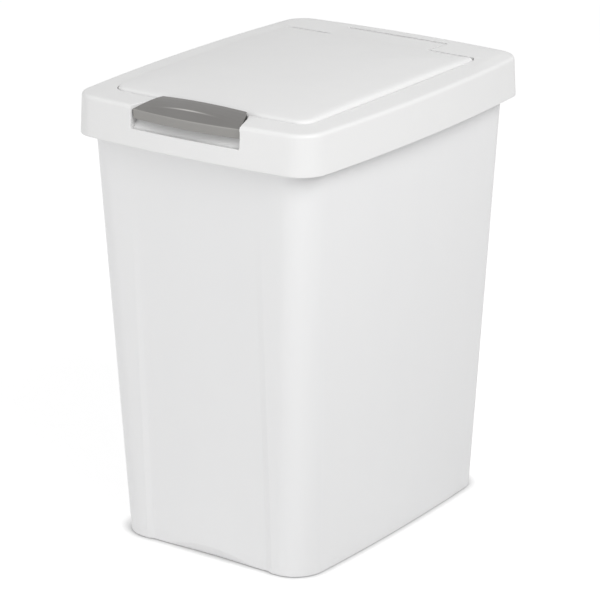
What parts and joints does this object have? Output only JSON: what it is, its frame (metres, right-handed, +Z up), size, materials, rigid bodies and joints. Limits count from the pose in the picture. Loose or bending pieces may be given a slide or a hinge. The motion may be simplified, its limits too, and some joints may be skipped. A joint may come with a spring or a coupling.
{
  "type": "household waste bin",
  "caption": "Tapered rectangular waste bin with a lift-off lid frame, a domed sprung door hinged at the rear, and a rocking push latch over a finger pocket at the front",
  "frame": {"origin": "middle of the foot, on the plane that the bin stands on", "axes": "+Z up, the front with the latch towards -Y, the hinge towards +Y, +X to the right seen from the front"},
  "size_m": [0.2786, 0.3662, 0.4388],
  "materials": {
    "white_shell": "satin moulded polypropylene, warm white",
    "white_lid": "satin moulded plastic, white",
    "white_door": "fine-grained moulded plastic, white",
    "grey_latch": "satin moulded plastic, warm grey",
    "steel_pin": "drawn steel rod",
    "steel_wire": "spring steel wire"
  },
  "bodies": {
    "basket": {"basket": "white_shell"},
    "lid": {"lid_frame": "white_lid", "hinge_pin": "steel_pin", "latch_pin": "steel_pin", "door_spring": "steel_wire", "latch_spring": "steel_wire"},
    "door": {"door": "white_door"},
    "latch": {"latch": "grey_latch"}
  },
  "joints": [
    {"name": "lid_lift", "type": "slide", "parent": "basket", "child": "lid", "axis": [0, 0, 1], "range_m": [0, 0.06]},
    {"name": "door_hinge", "type": "hinge", "parent": "lid", "child": "door", "pos_m": [0, 0.1518, 0.4246], "axis": [-1, 0, 0], "range_deg": [0, 95], "deforming": ["door_spring"]},
    {"name": "latch_press", "type": "hinge", "parent": "lid", "child": "latch", "pos_m": [0, -0.1502, 0.4155], "axis": [1, 0, 0], "range_deg": [0, 8], "stiffness_Nm_per_rad": 0.9, "springref_deg": -2.86, "deforming": ["latch_spring"]}
  ]
}
